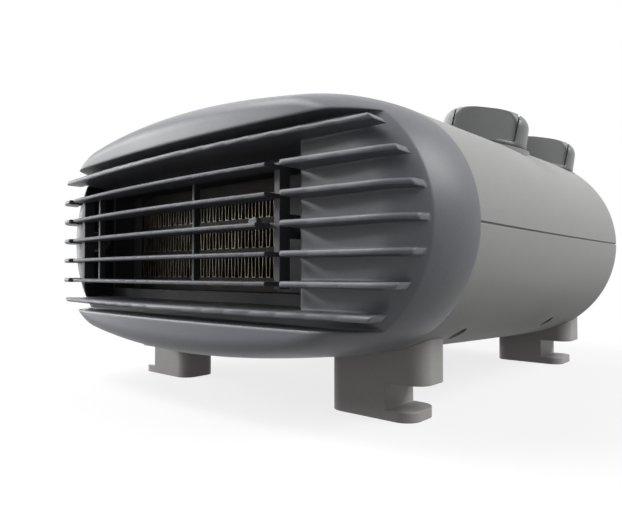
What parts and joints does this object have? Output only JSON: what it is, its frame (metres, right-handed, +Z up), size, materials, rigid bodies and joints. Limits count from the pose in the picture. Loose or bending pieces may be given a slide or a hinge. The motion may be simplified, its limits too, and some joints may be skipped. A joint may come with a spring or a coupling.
{
  "type": "fan heater",
  "caption": "Low oval fan heater with a bowed finned front, a tilting outlet louvre, two top knobs and feet grooved for winding the cord.",
  "frame": {"origin": "on the floor, under the middle of the heater's bounding box", "axes": "+Z up, the outlet faces -Y, +X to the right of someone facing the outlet"},
  "size_m": [0.24, 0.264, 0.1452],
  "materials": {
    "shell_grey": "fine satin moulded plastic",
    "front_dark": "satin moulded plastic",
    "louvre_dark": "satin moulded plastic",
    "knob_grey": "satin moulded plastic",
    "foot_grey": "satin moulded plastic",
    "inner_black": "heat-resistant moulded plastic",
    "bush_natural": "plain moulded plastic",
    "heater_aluminium": "gold-tinted rolled strip",
    "terminal_brass": "stamped",
    "cutout_brown": "pressed thermoset",
    "fuse_silver": "drawn",
    "fan_white": "plain moulded plastic",
    "steel": "bright zinc",
    "core_steel": "stacked laminations",
    "bracket_alloy": "as cast",
    "bearing_bronze": "sintered",
    "winding_copper": "enamelled wire under tape",
    "control_black": "pressed thermoset",
    "block_white": "plain moulded plastic",
    "gland_rubber": "moulded"
  },
  "bodies": {
    "housing": {"upper_shell": "shell_grey", "lower_shell": "shell_grey", "front_grille": "front_dark", "louvre_bush_left": "bush_natural", "louvre_bush_right": "bush_natural", "outlet_duct": "inner_black", "heater_holder_left": "inner_black", "heater_holder_right": "inner_black", "heater_fins": "heater_aluminium", "heater_bars": "heater_aluminium", "heater_edge_plates": "heater_aluminium", "heater_terminals": "terminal_brass", "thermal_cutout": "cutout_brown", "thermal_fuse": "fuse_silver", "fan_shroud": "inner_black", "motor_core": "core_steel", "motor_coil": "winding_copper", "motor_bracket_front": "bracket_alloy", "motor_bracket_rear": "bracket_alloy", "motor_bearing_front": "bearing_bronze", "motor_bearing_rear": "bearing_bronze", "motor_screws": "steel", "rear_grille": "front_dark", "thermostat_body": "control_black", "mode_switch_body": "control_black", "control_plate": "steel", "control_screws": "steel", "terminal_block": "block_white", "cord_gland": "gland_rubber", "shell_screws": "steel", "foot_screws": "steel", "foot_front_left": "foot_grey", "foot_front_right": "foot_grey", "foot_rear_left": "foot_grey", "foot_rear_right": "foot_grey"},
    "louvre": {"louvre": "louvre_dark"},
    "thermostat_control": {"thermostat_knob": "knob_grey", "thermostat_spindle": "bush_natural"},
    "mode_control": {"mode_knob": "knob_grey", "mode_spindle": "bush_natural"},
    "fan": {"fan_impeller": "fan_white", "motor_shaft": "steel", "motor_rotor": "core_steel"}
  },
  "joints": [
    {"name": "louvre_tilt", "type": "hinge", "parent": "housing", "child": "louvre", "pos_m": [-0.016, -0.1115, 0.0745], "axis": [1, 0, 0], "range_deg": [-25, 25]},
    {"name": "thermostat_turn", "type": "hinge", "parent": "housing", "child": "thermostat_control", "pos_m": [0.076, 0.0144, 0.12821], "axis": [0.2215, 0, 0.9751], "range_deg": [-135, 135]},
    {"name": "mode_turn", "type": "hinge", "parent": "housing", "child": "mode_control", "pos_m": [0.076, 0.096, 0.12821], "axis": [0.2215, 0, 0.9751], "range_deg": [0, 135]},
    {"name": "fan_spin", "type": "hinge", "parent": "housing", "child": "fan", "pos_m": [-0.016, 0, 0.0745], "axis": [0, 1, 0], "continuous": true}
  ]
}
